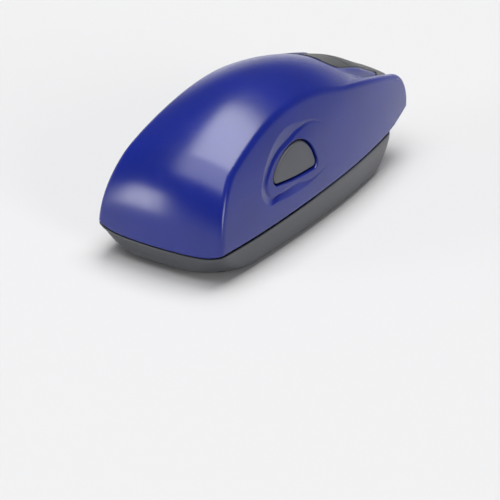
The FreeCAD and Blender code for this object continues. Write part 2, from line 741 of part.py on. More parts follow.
def cut_for_lugs(shape):
    """Clears the two lugs' feet."""
    for _, side in SIDES:
        low_y, high_y = sorted((side * LUG_INNER_Y, side * (LUG_INNER_Y + LUG_THICK)))
        shape = shape.cut(box(LUG_FOOT_X0, LUG_FOOT_X1, low_y, high_y, -BASE_HEIGHT, 1))
    return shape


def make_tray():
    """Shallow tray that holds the pad."""
    floor = -BASE_HEIGHT + BASE_FLOOR
    wall = TRAY_WALL
    outer = rounded_box(PAD_START - wall, PAD_END + wall - 0.1, -PAD_HALF - wall, PAD_HALF + wall,
                        floor, PAD_TOP + 0.1, 2.2)
    inner = rounded_box(PAD_START, PAD_END, -PAD_HALF, PAD_HALF, floor + TRAY_FLOOR, 0, 1.6)
    fill = base_hull(BASE_WALL + 0.05, -BASE_HEIGHT + BASE_FLOOR)
    return outer.cut(inner).common(fill)


def make_pad():
    """Dark felt pad."""
    floor = -BASE_HEIGHT + BASE_FLOOR + TRAY_FLOOR
    return rounded_box(PAD_START, PAD_END, -PAD_HALF, PAD_HALF, floor, PAD_TOP + 0.1, 1.6)


def make_hook(side):
    """Upright stem with a barbed foot at its top."""
    y = side * HOOK_Y
    stem = prism([
        (HOOK_FRONT_X, y - 1.9, LAND_Z), (HOOK_FRONT_X, y + 1.9, LAND_Z),
        (HOOK_FRONT_X, y + HOOK_STEM_HALF, LAND_Z + 1.6),
        (HOOK_FRONT_X, y + HOOK_STEM_HALF * 0.75, HOOK_BARB_Z + 0.3),
        (HOOK_FRONT_X, y + HOOK_FOOT_HALF, HOOK_BARB_Z),
        (HOOK_FRONT_X, y + HOOK_FOOT_HALF - 0.3, HOOK_TOP_Z - 0.1),
        (HOOK_FRONT_X, y + 0.8, HOOK_TOP_Z),
        (HOOK_FRONT_X, y - 0.8, HOOK_TOP_Z),
        (HOOK_FRONT_X, y - HOOK_FOOT_HALF + 0.3, HOOK_TOP_Z - 0.1),
        (HOOK_FRONT_X, y - HOOK_FOOT_HALF, HOOK_BARB_Z),
        (HOOK_FRONT_X, y - HOOK_STEM_HALF * 0.75, HOOK_BARB_Z + 0.3),
        (HOOK_FRONT_X, y - HOOK_STEM_HALF, LAND_Z + 1.6),
    ], (HOOK_BACK_X - HOOK_FRONT_X, 0, 0))
    return stem


def make_tooth():
    """Centre wedge that guides the housing's nose."""
    return prism([
        (HOOK_FRONT_X, -TOOTH_HALF, LAND_Z), (HOOK_FRONT_X, TOOTH_HALF, LAND_Z),
        (HOOK_FRONT_X, TOOTH_HALF * 0.6, TOOTH_TOP_Z - 0.6), (HOOK_FRONT_X, 0.2, TOOTH_TOP_Z),
        (HOOK_FRONT_X, -0.9, TOOTH_TOP_Z - 1.3),
    ], (HOOK_BACK_X - HOOK_FRONT_X, 0, 0))


def make_lug(side):
    """Arm from the base's tail up to the pin."""
    low_y = min(side * LUG_INNER_Y, side * (LUG_INNER_Y + LUG_THICK))
    slant = math.radians(LUG_SLANT)
    along_x, along_z = math.cos(slant), math.sin(slant)
    half = LUG_WIDTH / 2
    reach = 8.6
    arm = prism([
        (HINGE_X - along_z * half, low_y, HINGE_Z + along_x * half),
        (HINGE_X + along_z * half, low_y, HINGE_Z - along_x * half),
        (HINGE_X + along_x * reach + along_z * half, low_y, HINGE_Z + along_z * reach - along_x * half),
        (HINGE_X + along_x * reach - along_z * half, low_y, HINGE_Z + along_z * reach + along_x * half),
    ], (0, LUG_THICK, 0))
    hub = pin_bore(LUG_HUB_RADIUS, low_y, low_y + LUG_THICK)
    foot = box(LUG_FOOT_X0 + 0.05, BASE_TAIL_X, low_y, low_y + LUG_THICK, -BASE_HEIGHT + BASE_FLOOR, LAND_Z)
    foot = foot.common(base_hull(BASE_WALL, -BASE_HEIGHT + BASE_FLOOR))
    arm = fuse([arm, hub, foot])
    return arm.cut(pin_bore(PIN_RADIUS + PIN_CLEARANCE, low_y - 1, low_y + LUG_THICK + 1))


def build():
    """Every node by name."""
    nodes = {
        "housing_cover": make_cover(),
        "top_insert": make_insert(),
        "barrel_skirt": make_barrel(),
        "hinge_pin": make_pin(),
        "chassis": make_chassis(),
        "plate_holder": make_holder(),
        "foam_layer": make_foam(),
        "text_die": make_die(),
        "base_shell": make_base(),
        "base_rim_frame": make_rim(),
        "ink_tray": make_tray(),
        "ink_pad": make_pad(),
        "centre_tooth": make_tooth(),
    }
    for name, side in SIDES:
        nodes[name + "_button"] = make_button(side)
        nodes[name + "_catch_arm"] = make_arm(side)
        nodes[name + "_button_spring"] = make_spring(side, name)
        nodes[name + "_hook"] = make_hook(side)
        nodes[name + "_lug"] = make_lug(side)
    return nodes


def main():
    """Writes one file per node, moved to the bottom centre of the closed stamp."""
    os.makedirs("parts", exist_ok=True)
    centre_x = (NOSE_TIP_X + HINGE_X + BARREL_RADIUS) / 2
    for name, shape in build().items():
        shape.translate(V(-centre_x, 0, BASE_HEIGHT))
        print(name, len(shape.Solids), shape.isValid(), round(shape.Volume, 1))
        shape.exportStep("parts/" + name + ".step")


main()
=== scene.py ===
"""Pocket self-inking stamp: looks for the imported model.

Shapes are worked out in millimetres, x from the nose corner towards the tail, y negative on the
left, z from the line where housing and base meet. place() moves them into the model's frame in metres.
"""
import json
import math

import bmesh
import bpy
import mathutils
import numpy as np
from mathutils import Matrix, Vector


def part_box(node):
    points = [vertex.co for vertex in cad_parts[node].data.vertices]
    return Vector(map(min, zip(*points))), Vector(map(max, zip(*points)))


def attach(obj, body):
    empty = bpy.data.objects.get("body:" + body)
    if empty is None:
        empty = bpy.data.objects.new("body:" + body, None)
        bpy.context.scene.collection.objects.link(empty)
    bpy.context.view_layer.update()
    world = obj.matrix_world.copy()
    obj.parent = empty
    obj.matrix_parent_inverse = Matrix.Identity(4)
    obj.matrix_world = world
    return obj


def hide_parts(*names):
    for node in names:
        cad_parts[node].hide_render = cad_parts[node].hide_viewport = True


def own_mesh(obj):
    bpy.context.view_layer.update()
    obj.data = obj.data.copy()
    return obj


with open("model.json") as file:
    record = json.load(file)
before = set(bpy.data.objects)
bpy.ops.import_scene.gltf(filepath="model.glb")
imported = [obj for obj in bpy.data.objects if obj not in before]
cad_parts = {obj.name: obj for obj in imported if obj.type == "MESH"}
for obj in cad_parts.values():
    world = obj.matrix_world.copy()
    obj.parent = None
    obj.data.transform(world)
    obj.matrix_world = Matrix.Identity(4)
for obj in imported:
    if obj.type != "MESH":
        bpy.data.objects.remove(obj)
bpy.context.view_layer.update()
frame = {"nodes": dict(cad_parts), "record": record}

BASE_HEIGHT = 6.1
CENTRE_X = 35.85
MM = 0.001
SIDES = (("left", -1), ("right", 1))


def place(points):
    """Millimetres from the nose corner to metres in the model's frame."""
    return (np.asarray(points, float) + [-CENTRE_X, 0.0, BASE_HEIGHT]) * MM


def node_box(name):
    """A node's lowest and highest corners in millimetres from the nose corner."""
    return tuple(np.array(corner) / MM + [CENTRE_X, 0, -BASE_HEIGHT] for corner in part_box(name))


# Colours and nodes


def linear(code):
    """sRGB hex colour as linear RGBA: a straight line for dark values and a power of 2.4 for the others."""
    values = [int(code[i:i + 2], 16) / 255 for i in (1, 3, 5)]
    return [v / 12.92 if v <= 0.04045 else ((v + 0.055) / 1.055) ** 2.4 for v in values] + [1.0]


def add(tree, kind, links=(), values=(), **settings):
    """One node with its settings, socket values and links from other nodes' outputs."""
    node = tree.nodes.new(kind)
    for key, value in settings.items():
        setattr(node, key, value)
    for socket, value in dict(values).items():
        node.inputs[socket].default_value = value
    for socket, output in dict(links).items():
        tree.links.new(output, node.inputs[socket])
    return node


def material(name):
    """New material with its tree, its Principled shader and an Object coordinate output."""
    made = bpy.data.materials.new(name)
    made.use_nodes = True
    tree = made.node_tree
    shader = tree.nodes["Principled BSDF"]
    coordinate = add(tree, "ShaderNodeTexCoord").outputs["Object"]
    return made, tree, shader, coordinate


def noise(tree, coordinate, size_mm, detail=2.0, rough=0.5):
    """Noise whose lumps are about that many millimetres across."""
    values = {"Scale": 1 / (size_mm * MM), "Detail": detail, "Roughness": rough}
    return add(tree, "ShaderNodeTexNoise", {"Vector": coordinate}, values).outputs["Fac"]


def tint(tree, factor, stops):
    """Colour from a factor through (place, hex colour) stops."""
    ramp = add(tree, "ShaderNodeValToRGB", {"Fac": factor})
    for i, (where, code) in enumerate(stops):
        stop = ramp.color_ramp.elements[i] if i < 2 else ramp.color_ramp.elements.new(where)
        stop.position = where
        stop.color = linear(code)
    return ramp.outputs["Color"]


def span(tree, factor, low, high):
    """A 0 to 1 factor mapped to a range of numbers."""
    ends = {"To Min": low, "To Max": high}
    return add(tree, "ShaderNodeMapRange", {"Value": factor}, ends).outputs["Result"]


def relief(tree, shader, height, depth_mm, strength):
    """Bump of that depth on the shader."""
    values = {"Strength": strength, "Distance": depth_mm * MM}
    bump = add(tree, "ShaderNodeBump", {"Height": height}, values)
    tree.links.new(bump.outputs["Normal"], shader.inputs["Normal"])


def polished_indigo():
    """Tinted SAN plastic from a polished mould: deep indigo, glossy, light creeps a little into it."""
    made, tree, shader, coordinate = material("indigo polished SAN")
    drift = noise(tree, coordinate, size_mm=14.0, detail=1.0)
    tree.links.new(tint(tree, drift, [(0.35, "#0e1f77"), (0.65, "#102181")]), shader.inputs["Base Color"])
    peel = noise(tree, coordinate, size_mm=1.8, detail=1.0)
    tree.links.new(span(tree, peel, 0.21, 0.27), shader.inputs["Roughness"])
    relief(tree, shader, peel, depth_mm=0.004, strength=0.4)
    shader.inputs["IOR"].default_value = 1.57
    shader.inputs["Subsurface Weight"].default_value = 0.2
    shader.inputs["Subsurface Radius"].default_value = (0.3, 0.25, 1.0)
    shader.inputs["Subsurface Scale"].default_value = 0.0015
    return made


def satin_plastic(name, low, high, grain_mm, rough_low, rough_high):
    """ABS or polypropylene from a spark-eroded mould: satin, with a fine even grain.

    The real grain is well under a tenth of a millimetre, and is drawn coarser so that it shows."""
    made, tree, shader, coordinate = material(name)
    grain = noise(tree, coordinate, grain_mm, detail=3.0, rough=0.6)
    drift = noise(tree, coordinate, size_mm=11.0, detail=1.0)
    both = add(tree, "ShaderNodeMix", {0: drift, 2: grain, 3: drift}, {0: 0.4}, data_type="FLOAT")
    tree.links.new(tint(tree, both.outputs[0], [(0.3, low), (0.7, high)]), shader.inputs["Base Color"])
    tree.links.new(span(tree, grain, rough_low, rough_high), shader.inputs["Roughness"])
    relief(tree, shader, grain, depth_mm=0.02, strength=0.35)
    shader.inputs["IOR"].default_value = 1.49
    return made


def cut_foam():
    """Pale rubber foam cut with a blade: matte, with open pin-prick pores a third of a millimetre wide;
    their middles get painted shade.
    """
    made, tree, shader, coordinate = material("pale cut foam rubber")
    cell = {"Scale": 1 / (0.35 * MM)}
    pore_dents_and_shade = add(tree, "ShaderNodeTexVoronoi", {"Vector": coordinate}, cell).outputs["Distance"]
    patch = noise(tree, coordinate, size_mm=2.5, detail=3.0)
    # Painted shade: the colour darkens towards each pore's middle, standing in for shade in the open holes
    tree.links.new(tint(tree, pore_dents_and_shade, [(0.15, "#a7a49c"), (0.5, "#cfccc4")]), shader.inputs["Base Color"])
    tree.links.new(span(tree, patch, 0.75, 0.95), shader.inputs["Roughness"])
    relief(tree, shader, pore_dents_and_shade, depth_mm=0.08, strength=0.6)
    return made


def lasered_rubber():
    """Grey stamp rubber cut by laser: matte, with fine scan lines and a dusty bloom."""
    made, tree, shader, coordinate = material("laser-cut stamp rubber")
    scan = {"Scale": 1 / (0.9 * MM), "Distortion": 0.6, "Detail": 1.0}
    lines = add(tree, "ShaderNodeTexWave", {"Vector": coordinate}, scan, bands_direction="Y").outputs["Fac"]
    dust = noise(tree, coordinate, size_mm=3.0, detail=4.0, rough=0.65)
    tree.links.new(tint(tree, dust, [(0.3, "#6a6a6a"), (0.7, "#8d8c8a")]), shader.inputs["Base Color"])
    tree.links.new(span(tree, dust, 0.6, 0.8), shader.inputs["Roughness"])
    relief(tree, shader, lines, depth_mm=0.02, strength=0.5)
    return made


def inked_felt():
    """Felt soaked with black ink: nearly black brown, matte with a damp sheen on its fibres."""
    made, tree, shader, coordinate = material("inked felt")
    fibre = noise(tree, coordinate, size_mm=0.5, detail=5.0, rough=0.7)
    damp = noise(tree, coordinate, size_mm=6.0)
    tree.links.new(tint(tree, fibre, [(0.3, "#14110e"), (0.75, "#2b241d")]), shader.inputs["Base Color"])
    tree.links.new(span(tree, damp, 0.55, 0.9), shader.inputs["Roughness"])
    shader.inputs["Sheen Weight"].default_value = 0.15
    relief(tree, shader, fibre, depth_mm=0.12, strength=0.8)
    return made


def drawn_steel(name, roughness):
    """Drawn steel: bright, with fine streaks."""
    made, tree, shader, coordinate = material(name)
    streak = noise(tree, coordinate, size_mm=0.3)
    shader.inputs["Metallic"].default_value = 1.0
    tree.links.new(tint(tree, streak, [(0.3, "#9a9a9c"), (0.7, "#c2c2c4")]), shader.inputs["Base Color"])
    tree.links.new(span(tree, streak, roughness, roughness + 0.12), shader.inputs["Roughness"])
    return made


finish = {
    "indigo_plastic": polished_indigo(),
    "dark_grey_plastic": satin_plastic("dark grey satin ABS", "#2b2d2d", "#333636", 0.25, 0.36, 0.46),
    "mid_grey_plastic": satin_plastic("light grey satin ABS", "#77787a", "#85868a", 0.25, 0.36, 0.46),
    "button_grey_plastic": satin_plastic("button grey satin ABS", "#4c4e53", "#55575c", 0.2, 0.36, 0.46),
    "base_grey_plastic": satin_plastic("mid grey satin polypropylene", "#424448", "#4b4d52",
                                       0.22, 0.32, 0.42),
    "black_plastic": satin_plastic("black satin ABS", "#17171a", "#202024", 0.3, 0.3, 0.4),
    "pale_foam": cut_foam(),
    "stamp_rubber": lasered_rubber(),
    "pad_felt": inked_felt(),
    "pin_steel": drawn_steel("drawn steel pin", 0.22),
    "spring_steel": drawn_steel("drawn spring wire", 0.28),
}

slots = {row["node"]: row["material_slot"] for row in frame["record"]["subparts"]}
for name, node in frame["nodes"].items():
    node.data.materials.clear()
    node.data.materials.append(finish[slots[name]])


# Making pieces

MERGE = 2e-7
SHARP_ANGLE = math.radians(38)


def into_scene(name, data):
    """New object in the scene, at the origin."""
    thing = bpy.data.objects.new(name, data)
    bpy.context.scene.collection.objects.link(thing)
    return thing


def quarter(count):
    """Angles from 0 to a right angle."""
    return np.radians(np.linspace(0, 90, count))


def closed(grid):
    """A grid with its first column repeated behind its last."""
    return np.concatenate([grid, grid[:, :1]], 1)


def part(grid, flip=False, gone=()):
    """A grid of points and its quads, without the windows in gone (row, row, column, column)."""
    rows, columns = grid.shape[:2]
    i, j = np.mgrid[0:rows - 1, 0:columns - 1]
    keep = np.ones(i.shape, bool)
    for i0, i1, j0, j1 in gone:
        keep[i0:i1, j0:j1] = False
    a = i[keep] * columns + j[keep]
    quads = np.stack([a, a + 1, a + columns + 1, a + columns], -1)
    return grid, (quads[:, ::-1] if flip else quads)


def loop_of(window, columns):
    """Numbers of the grid points round a window, in order."""
    i0, i1, j0, j1 = window
    up = [(i, j0) for i in range(i0, i1)] + [(i1, j) for j in range(j0, j1)]
    down = [(i, j1) for i in range(i1, i0, -1)] + [(i0, j) for j in range(j1, j0, -1)]
    return np.array([i * columns + j for i, j in up + down])


def solid(name, parts):
    """Mesh piece from (points in millimetres, quads) parts: welded, open edges filled, faces outward."""
    points, faces, count = [], [], 0
    for grid, quads in parts:
        flat = grid.reshape(-1, 3)
        points.append(flat)
        faces.append(quads + count)
        count += len(flat)
    mesh = bpy.data.meshes.new(name)
    mesh.from_pydata(place(np.concatenate(points)).tolist(), [], np.concatenate(faces).tolist())
    form = bmesh.new()
    form.from_mesh(mesh)
    bmesh.ops.remove_doubles(form, verts=form.verts, dist=MERGE)
    bmesh.ops.dissolve_degenerate(form, edges=form.edges, dist=MERGE)
    bmesh.ops.holes_fill(form, edges=[e for e in form.edges if e.is_boundary], sides=0)
    bmesh.ops.triangulate(form, faces=[f for f in form.faces if len(f.verts) > 4])
    bmesh.ops.recalc_face_normals(form, faces=form.faces)
    form.to_mesh(mesh)
    form.free()
    mesh.shade_smooth()
    mesh.set_sharp_from_angle(angle=SHARP_ANGLE)
    return into_scene(name, mesh)


def dress(thing, body, slot, node):
    """Gives a piece its body and its finish, and hides the node that it stands for."""
    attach(thing, body)
    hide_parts(node)
    thing.data.materials.append(finish[slot])
    return thing


# Housing: plan, side profile and the line where it meets the base

WIDEST_X, WIDEST_HALF = 38.0, 14.75
FRONT_RADIUS, REAR_RADIUS = 336.0, 200.0
LEAN_SLOPE, LEAN_CURVE = 0.05, 0.013
NOSE_BULGE, NOSE_HEADING = 1.15, math.radians(94.4)
# Radius and degrees of each arc of the top's centre line
CROWN_ARCS = ((16.5, 48.3), (11.0, 20.6), (57.5, 51.5))
CROWN_HALF, CROWN_END = 12.5, 86
# How far the crown's edges lie under its middle, at four places along it
DROP_CURVE = np.polyfit((0.0, 19.5, 46.9, 78.1), (1.15, 2.83, 4.8, 4.6), 3)
HINGE_X, HINGE_Z = 67.2, 5.0
TAIL_RADIUS = 5.1
WALL = 1.6
GAP = 0.25
# The split dips across the nose, climbs to the tail, and the housing's edge climbs faster behind the base
SPLIT_DIP, DIP_POWER, DIP_END_X = 1.25, 6, 30
SPLIT_CLIMB_X, SPLIT_SLOPE, SPLIT_SOFT = 9.0, 0.0245, 9.0
TAIL_RISE_X, TAIL_RISE_SLOPE, TAIL_RISE_SOFT = 63.0, 0.115, 0.5
# Side plates of the tail: their inner faces, where they start, and their crest
FENDER_INNER, FENDER_X, FENDER_LONG = 9.3, 58, 3
CREST_X, CREST_Z, CREST_SLOPE, CREST_FALL = 48.69, 14.72, 0.185, 0.0028
CREST_START, CREST_LONG, CREST_SOFT = 46, 8, 0.06
CREST_INNER, WALL_WIDE = 8.3, 1.1
CREST_ROUNDS, LEAST_COSINE = 4, 0.3
# Raised middle between the side plates, which carries the grey strip
PLINTH_X, PLINTH_LONG, PLINTH_HALF, PLINTH_RISE = 52.0, 11.0, 7.0, 1.2


def smooth(t):
    """0 to 1 with level ends: three t squared less two t cubed, t held between 0 and 1."""
    t = np.clip(t, 0.0, 1.0)
    return t * t * (3 - 2 * t)


def soft_above(t, soft):
    """t where it is above 0 and 0 below, rounded between: half of t plus the root of its square and soft."""
    return 0.5 * (t + np.sqrt(t * t + soft))


def half_width(x):
    """Half width of the plan: one arc before the widest place and a tighter one behind it."""
    radius = np.where(x < WIDEST_X, FRONT_RADIUS, REAR_RADIUS)
    return WIDEST_HALF - radius + np.sqrt(radius ** 2 - (x - WIDEST_X) ** 2)


def centre_line(s):
    """Point and heading s along the top's centre line: three tangent arcs, then straight on."""
    left = np.array(s, float)
    x, z, heading = -NOSE_BULGE + 0 * left, 0 * left, NOSE_HEADING + 0 * left
    for radius, turn in CROWN_ARCS:
        step = np.clip(left, 0, radius * math.radians(turn))
        after = heading - step / radius
        x = x + radius * (np.sin(heading) - np.sin(after))
        z = z + radius * (np.cos(after) - np.cos(heading))
        heading, left = after, left - step
    return x + left * np.cos(heading), z + left * np.sin(heading), heading


def crest_line(x):
    """Height of the side plates' crest: a line with a slight fall-off."""
    u = x - CREST_X
    return CREST_Z - CREST_SLOPE * u - CREST_FALL * u * u


def plinth_rise(x):
    """Rise of the raised middle: a smooth ramp along x."""
    return PLINTH_RISE * smooth((x - PLINTH_X) / PLINTH_LONG)


def top(s, y, inward=0.0, crest=True):
    """Point on the top: the centre line moved along its normal by a parabola in y.

    With crest, the edges near the tail are lifted to the crest line through a steep smooth wall, and the
    middle between them is raised. The crest's depth along the normal is found in a few rounds."""
    cx, cz, heading = centre_line(s)
    sine, cosine = np.sin(heading), np.cos(heading)
    drop = np.polyval(DROP_CURVE, np.clip(s, 0, CROWN_END)) * (y / CROWN_HALF) ** 2
    if crest:
        level = 0 * drop
        for _ in range(CREST_ROUNDS):
            level = (cz - crest_line(cx + level * sine)) / np.maximum(cosine, LEAST_COSINE)
        zone = smooth((s - CREST_START) / CREST_LONG) * smooth((np.abs(y) - CREST_INNER) / WALL_WIDE)
        drop = drop - zone * soft_above(drop - level, CREST_SOFT)
        drop = drop - plinth_rise(cx) * smooth((PLINTH_HALF - np.abs(y)) / WALL_WIDE)
    depth = drop + inward
    return cx + depth * sine, cz - depth * cosine


def split_height(x, y):
    """Where housing and base meet: climbing to the tail, and dipped across the nose between its corners."""
    share = np.minimum(np.abs(y) / half_width(np.minimum(x, WIDEST_X)), 1.0)
    climb = SPLIT_SLOPE * soft_above(x - SPLIT_CLIMB_X, SPLIT_SOFT)
    return climb - SPLIT_DIP * (1 - share ** DIP_POWER) * (x < DIP_END_X)


def rim_height(x, y):
    """Lower edge of the housing: half the gap over the split, and rising faster behind the base."""
    return split_height(x, y) + GAP / 2 + TAIL_RISE_SLOPE * soft_above(x - TAIL_RISE_X, TAIL_RISE_SOFT)


def flank(x, z, inward=0.0):
    """Half width of the housing: the plan's, less a share of the height and of its square.

    Inside it is less by the wall, and near the tail it ends at the side plates' inner faces."""
    wide = half_width(x) - LEAN_SLOPE * z - LEAN_CURVE * np.maximum(z, 0.0) ** 2
    if inward == 0:
        return wide
    fender = (wide - FENDER_INNER) * smooth((x - FENDER_X) / FENDER_LONG)
    return wide - np.where(x > FENDER_X, np.maximum(inward, fender), inward)


# Rows along the top's centre line as (first, last, count), closer together beside the button
ROW_RUNS = ((0.25, 24, 50), (24, 52, 92), (52, 82.55, 68))
ROWS = np.unique(np.concatenate([np.linspace(*run) for run in ROW_RUNS]))
FLANK_STEPS, EDGE_STEPS, TOP_STEPS = 56, 5, 76
CREASE_RADIUS, INNER_CREASE = 0.85, 0.3
# The crease's half width is found from a first guess, moved this share of the way in each round
CREASE_GUESS, CREASE_ROUNDS, CREASE_PACE = 12.0, 60, 0.4
RIM_ROUND = 0.25
# Where the rows follow the dipped rim, spread out to the tail's corner, and bend onto the round end
DIP_ROWS, SPREAD_START, BEND_START = 9, 66, 68
EVEN_SHARE = 0.5
# Angles about the hinge, in degrees, where the round end starts and stops: its edge and its trimmed edge
TAIL_HIGH, TAIL_LOW, TRIM_LOW = 73.5, -24.9, -28.4
OUTER_CORNER_X, INNER_CORNER_X = 70.94, 71.4
BESIDE_DIP = 99.0


def sheet(inward):
    """Grid of points over the housing from the left rim over the top to the right rim.

    For each row the crease is where the top meets the flank. The flank runs from the rim to the crease,
    its last rows bent onto the round end; a quadratic curve rounds the crease; the top runs across."""
    outer = inward == 0
    radius = CREASE_RADIUS if outer else INNER_CREASE
    lift = RIM_ROUND if outer else 0.0
    corner = OUTER_CORNER_X if outer else INNER_CORNER_X
    s = ROWS
    y = 0 * s + CREASE_GUESS
    for _ in range(CREASE_ROUNDS):
        x, z = top(s, y, inward, outer)
        y = (1 - CREASE_PACE) * y + CREASE_PACE * flank(x, z, inward)
    x, z = top(s, y, inward, outer)
    dx, dz = np.gradient(x, s), np.gradient(z, s)
    size = np.hypot(dx, dz)
    low_x, low_z = x + radius * dz / size, z - radius * dx / size
    # rim of the flank, spread between the crease's own places and even steps
    mix = EVEN_SHARE + (1 - EVEN_SHARE) * smooth((s - SPREAD_START) / (s[-1] - SPREAD_START))
    rim_x = (1 - mix) * low_x + mix * (low_x[0] + (corner - low_x[0]) * s / s[-1])
    rim_z = rim_height(rim_x, BESIDE_DIP) + lift
    v = np.linspace(0, 1, FLANK_STEPS)[None, :]
    fx = (1 - v) * rim_x[:, None] + v * low_x[:, None]
    fz = (1 - v) * rim_z[:, None] + v * low_z[:, None]
    if outer:
        angle = np.radians(np.linspace(TRIM_LOW, TAIL_HIGH, FLANK_STEPS))
        bend = smooth((s - BEND_START) / (s[-1] - BEND_START))[:, None]
        fx = fx + bend * (HINGE_X + (TAIL_RADIUS - radius) * np.cos(angle) - fx[-1])
        fz = fz + bend * (HINGE_Z + (TAIL_RADIUS - radius) * np.sin(angle) - fz[-1])
    fy = flank(fx, fz, inward)
    across = np.sin(np.linspace(-1, 1, TOP_STEPS) * math.pi / 2)[None, :]
    ty = (y - radius)[:, None] * across
    # the front rows follow the dipped rim
    cx, cz = top(s[0] + 0 * across, ty[:1], inward, False)
    start = (rim_height(cx, ty[:1]) + lift - cz) / math.sin(NOSE_HEADING)
    ts = s[:, None] + start * (1 - smooth(s / DIP_ROWS))[:, None]
    tx, tz = top(ts, ty, inward, outer)
    w = np.linspace(0, 1, EDGE_STEPS + 2)[None, 1:-1, None]
    edge = np.stack([x, y, z], -1)[:, None, :]
    from_flank = np.stack([fx[:, -1], fy[:, -1], fz[:, -1]], -1)[:, None, :]
    to_top = np.stack([tx[:, -1], ty[:, -1], tz[:, -1]], -1)[:, None, :]
    curve = (1 - w) ** 2 * from_flank + 2 * w * (1 - w) * edge + w ** 2 * to_top
    side = np.concatenate([np.stack([fx, fy, fz], -1), curve], 1)
    crown = np.stack([tx, ty, tz], -1)
    return np.concatenate([side * [1, -1, 1], crown, side[:, ::-1]], 1)


# Outlines in the flank, each as arcs through three points: the button, and the dish round it
LEAF = (((29.5, 6.08), (23.9, 6.3), (18.3, 6.9)), ((18.3, 6.9), (17.35, 7.5), (17.6, 8.45)),
        ((17.6, 8.45), (21.3, 10.7), (25.9, 11.7)), ((25.9, 11.7), (29.0, 10.7), (30.7, 7.6)),
        ((30.7, 7.6), (30.65, 6.4), (29.5, 6.08)))
DISH = (((34.5, 5.0), (24.2, 3.6), (16.5, 4.2)), ((16.5, 4.2), (12.9, 5.6), (12.7, 7.9)),
        ((12.7, 7.9), (15.8, 11.5), (20.4, 14.1)), ((20.4, 14.1), (24.7, 14.95), (29.0, 14.4)),
        ((29.0, 14.4), (34.0, 13.2), (37.6, 10.6)), ((37.6, 10.6), (37.9, 7.2), (34.5, 5.0)))
LEAF_CENTRE = (24.4, 8.5)
ARC_POINTS, JOIN_ROUNDS = 40, 12
BUTTON_GAP, HOLE_ROUND = 0.35, 0.25
# The dish's outer wall: its width, how much that varies and where it is greatest, and where it fades out
DISH_WIDE, DISH_VARIES, DISH_WIDEST = 1.65, 0.45, math.radians(125)
DISH_FADE_FROM, DISH_FADE_OVER = 8, 85
# It falls by this share of its width, and the inner wall climbs back part of the way
WALL_FALL, LIP_WIDE, LIP_CLIMB, DISH_SOFT = 0.3, 0.7, 0.4, 0.07
# Places of the rings of points: out from the hole, about the lip, on the wall, and about the dish's edge
HOLE_MARKS = np.array([0.0, 0.05, 0.11, 0.18, 0.26, 0.36])[:, None]
LIP_MARKS = np.array([-LIP_WIDE - 0.12, -LIP_WIDE, -LIP_WIDE + 0.12, -0.1, 0.0, 0.1])[:, None]
WALL_MARKS = np.array([0.3, 0.6])[:, None]
EDGE_MARKS = np.array([-0.1, 0.0, 0.1, 0.25])[:, None]
RING_STEP = 0.02
# The part of the grid that each button's rings take the place of: its ends along x, its shares up the flank
WINDOW_X, WINDOW_SHARES = (10.8, 39.6), (0.15, 0.93)
FENDER_ROUND = 0.3
SHORTEST = 1e-9


def three_point_arc(a, b, c):
    """Points along the circle through a, b and c, from a to c without c.

    The centre follows from the ratio of the two chords from a, taken as complex numbers."""
    a, b, c = (complex(*p) for p in (a, b, c))
    w = (c - a) / (b - a)
    centre = (b - a) * (w - abs(w) ** 2) / (2j * w.imag) + a
    turn = np.angle((c - centre) / (a - centre))
    through = np.angle((b - centre) / (a - centre))
    if turn * through < 0:
        turn -= math.copysign(2 * math.pi, turn)
    return centre + (a - centre) * np.exp(1j * turn * np.arange(ARC_POINTS) / ARC_POINTS)


def reach(outline, angles, grow=0.0):
    """Distance from the button's centre to an outline, grown by a distance, at those angles.

    The joins between the arcs are rounded by averaging each point with its neighbours, in several rounds."""
    line = np.concatenate([three_point_arc(*arc) for arc in outline])
    for _ in range(JOIN_ROUNDS):
        line = (np.roll(line, 1) + 2 * line + np.roll(line, -1)) / 4
    along = np.roll(line, -1) - np.roll(line, 1)
    centre = complex(*LEAF_CENTRE)
    out = -1j * along / abs(along)
    out = out * np.sign(((line - centre) * np.conj(out)).real)
    spoke = line + out * grow - centre
    order = np.argsort(np.angle(spoke))
    return np.interp(angles, np.angle(spoke)[order], abs(spoke)[order], period=2 * math.pi)


def dish_width(angles):
    """Width of the dish's outer wall: widest towards the nose and the top, none towards the tail."""
    turn = np.degrees(angles) % 360
    fade = smooth((np.minimum(turn, 360 - turn) - DISH_FADE_FROM) / DISH_FADE_OVER)
    return (DISH_WIDE + DISH_VARIES * np.cos(angles - DISH_WIDEST)) * fade


def soft_ramp(t):
    """0 well below 0 and t well above it, with a rounded corner between: a parabola near 0."""
    near = np.clip(t, -DISH_SOFT, DISH_SOFT)
    return (near + DISH_SOFT) ** 2 / (4 * DISH_SOFT) + np.maximum(t - DISH_SOFT, 0.0)


def dish_depth(inside, wide):
    """Depth at a distance inside the dish's outline: a straight wall down, then a short lip back up."""
    wall = soft_ramp(inside) - soft_ramp(inside - wide)
    lip = soft_ramp(inside - wide) - soft_ramp(inside - wide - LIP_WIDE)
    return WALL_FALL * (wall - LIP_CLIMB * wide * lip / LIP_WIDE)


